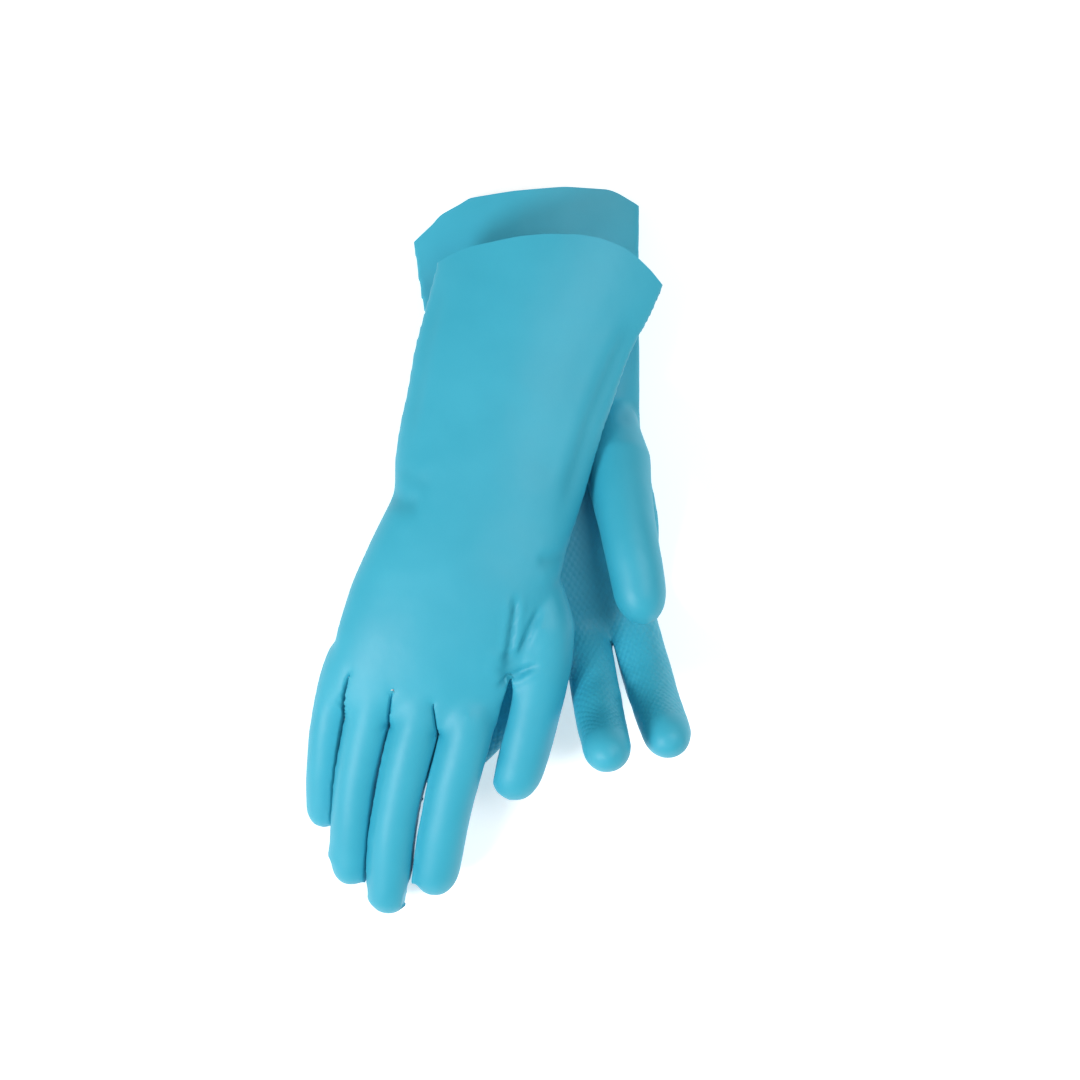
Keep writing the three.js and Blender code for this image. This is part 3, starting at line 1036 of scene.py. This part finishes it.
def walled_piece(name, obj, wanted, wall, material):
    """A copy of the wanted faces with a wall on the inside, shaded with the normals of the whole."""
    made = bmesh.new()
    made.from_mesh(obj.data)
    keep_faces(made, wanted)
    mesh = bpy.data.meshes.new(name)
    made.to_mesh(mesh)
    made.free()
    mesh.validate()
    piece = bpy.data.objects.new(name, mesh)
    bpy.context.scene.collection.objects.link(piece)
    for _ in range(3):
        mesh.materials.append(material)
    settings = dict(thickness=wall, offset=-1, material_offset=1, material_offset_rim=2, use_rim=True)
    modified(piece, "SOLIDIFY", **settings)
    mesh = piece.data
    mesh.name = name
    whole = np.empty(len(mesh.vertices) * 3)
    mesh.attributes["whole_normal"].data.foreach_get("vector", whole)
    corner = np.empty(len(mesh.loops), int)
    mesh.loops.foreach_get("vertex_index", corner)
    layer = np.empty(len(mesh.polygons), int)
    mesh.polygons.foreach_get("material_index", layer)
    sizes = np.empty(len(mesh.polygons), int)
    mesh.polygons.foreach_get("loop_total", sizes)
    flat = np.empty(len(mesh.polygons) * 3)
    mesh.polygons.foreach_get("normal", flat)
    layers, flats = np.repeat(layer, sizes), np.repeat(flat.reshape(-1, 3), sizes, axis=0)
    normals = whole.reshape(-1, 3)[corner] * np.where(layers == 1, -1, 1)[:, None]
    normals[layers == 2] = flats[layers == 2]
    mesh.attributes.remove(mesh.attributes["whole_normal"])
    mesh.polygons.foreach_set("use_smooth", np.ones(len(mesh.polygons), bool))
    mesh.normals_split_custom_set(normals.tolist())
    mesh.polygons.foreach_set("material_index", np.zeros(len(mesh.polygons), int))
    while len(mesh.materials) > 1:
        mesh.materials.pop()
    return piece


def keep_attribute(mesh, name, kind, values):
    made = mesh.attributes.get(name) or mesh.attributes.new(name, kind, "POINT")
    made.data.foreach_set("vector" if kind == "FLOAT_VECTOR" else "value", np.asarray(values, np.float32).ravel())


# %% Where each piece goes: the left hand rides its body, the others stay fixed, and the imported parts they stand for are hidden
BEND = 26 * MM  # a length along a digit past its slit; the point it gives is not used
WRIST_BEND = 34 * MM


def ride_pieces(side, pieces, suffix):
    for number, piece in pieces.items():
        if number:
            name = DIGITS[number - 1]
            line = LINES[side][name]
            ahead = (line[1] - line[0]).normalized()
            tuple(line[0])
            line[0] + ahead * BEND
            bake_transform(piece)
            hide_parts(f"{side}_{name}{suffix}")
            continue
        if side == "right":
            wrist = AXES[side] @ Vector((WRIST_SHIFT, SLIT_AT, 0))
            wrist + AXES[side].col[1].xyz * WRIST_BEND
            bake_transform(piece)
        else:
            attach(piece, "left_glove")
        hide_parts(f"{side}_hand{suffix}", f"{side}_gauntlet{suffix}")


# %% [markdown]
# ## Making the two gloves
#
# Skin and lining come from the same form. The lining is a thinned copy, since only its cuff is seen, moved inwards
# to lie against the inside of the skin.

# %% The gloves
NITRILE_WALL, LINING_IN, FLOCK_WALL = 0.45 * MM, 0.75 * MM, 0.5 * MM
LOOSER = 0.9 * MM  # how much further in the lining lies past the wrist, where nothing shows it
LINING_SHARE = 0.45  # of the skin's triangles
LEAST_INSIDE = 0.3 * MM  # a lining face stays this far under the skin


def pieces_of(side, form, wall, material, kind):
    labels = cut_at_slits(side, form)
    keep_attribute(form.data, "rest", "FLOAT_VECTOR", read_points(form.data))
    keep_attribute(form.data, "whole_normal", "FLOAT_VECTOR", read_normals(form.data))
    pieces = {}
    for number in range(6):
        part = "hand" if number == 0 else DIGITS[number - 1]
        pieces[number] = walled_piece(f"{side}_{part}_{kind}", form, labels == number, wall, material)
        count = sum(len(p.vertices) - 2 for p in pieces[number].data.polygons)
        print(pieces[number].name, count, "triangles")
    discard(form)
    return pieces


def shaped_form(side):
    form = glove_form(side)
    soften_knuckles(side, form.data)
    # The strength of each fold is kept as the "crease" attribute, which the nitrile finish uses to paint shade into the
    # folds.
    keep_attribute(form.data, "crease", "FLOAT", press_folds(side, form.data))
    uneven(side, form.data)
    settle(form.data)
    return form


def drop_crossing(lining, skin):
    """Deletes the faces of the lining that its thinning has taken up to the skin, at the sharp slits."""
    near_skin = BVHTree.FromObject(skin, bpy.context.evaluated_depsgraph_get())
    made = bmesh.new()
    made.from_mesh(lining.data)
    doomed = []
    for face in made.faces:
        middles = [(edge.verts[0].co + edge.verts[1].co) / 2 for edge in face.edges]
        for place in [face.calc_center_median(), *middles]:
            nearest, normal, _, _ = near_skin.find_nearest(place)
            if (place - nearest).dot(normal) > -LEAST_INSIDE:
                doomed.append(face)
                break
    print(lining.name, len(doomed), "of", len(made.faces), "faces dropped")
    bmesh.ops.delete(made, geom=doomed, context="FACES")
    made.to_mesh(lining.data)
    made.free()


for side in SIDES:
    form = shaped_form(side)
    inner = bpy.data.objects.new(f"{side}_inner", form.data.copy())
    bpy.context.scene.collection.objects.link(inner)
    points = read_points(inner.data)
    inwards = LINING_IN + LOOSER * eased((-in_glove(side, points)[:, 1] - 10) / 20)
    write_points(inner.data, points - read_normals(inner.data) * inwards[:, None])
    modified(inner, "DECIMATE", ratio=LINING_SHARE)
    drop_crossing(inner, form)
    cut_cuff(side, form)
    cut_cuff(side, inner)
    press_grip(side, form.data)
    ride_pieces(side, pieces_of(side, form, NITRILE_WALL, NITRILE, "skin"), "")
    ride_pieces(side, pieces_of(side, inner, FLOCK_WALL, FLOCK, "flock"), "_lining")
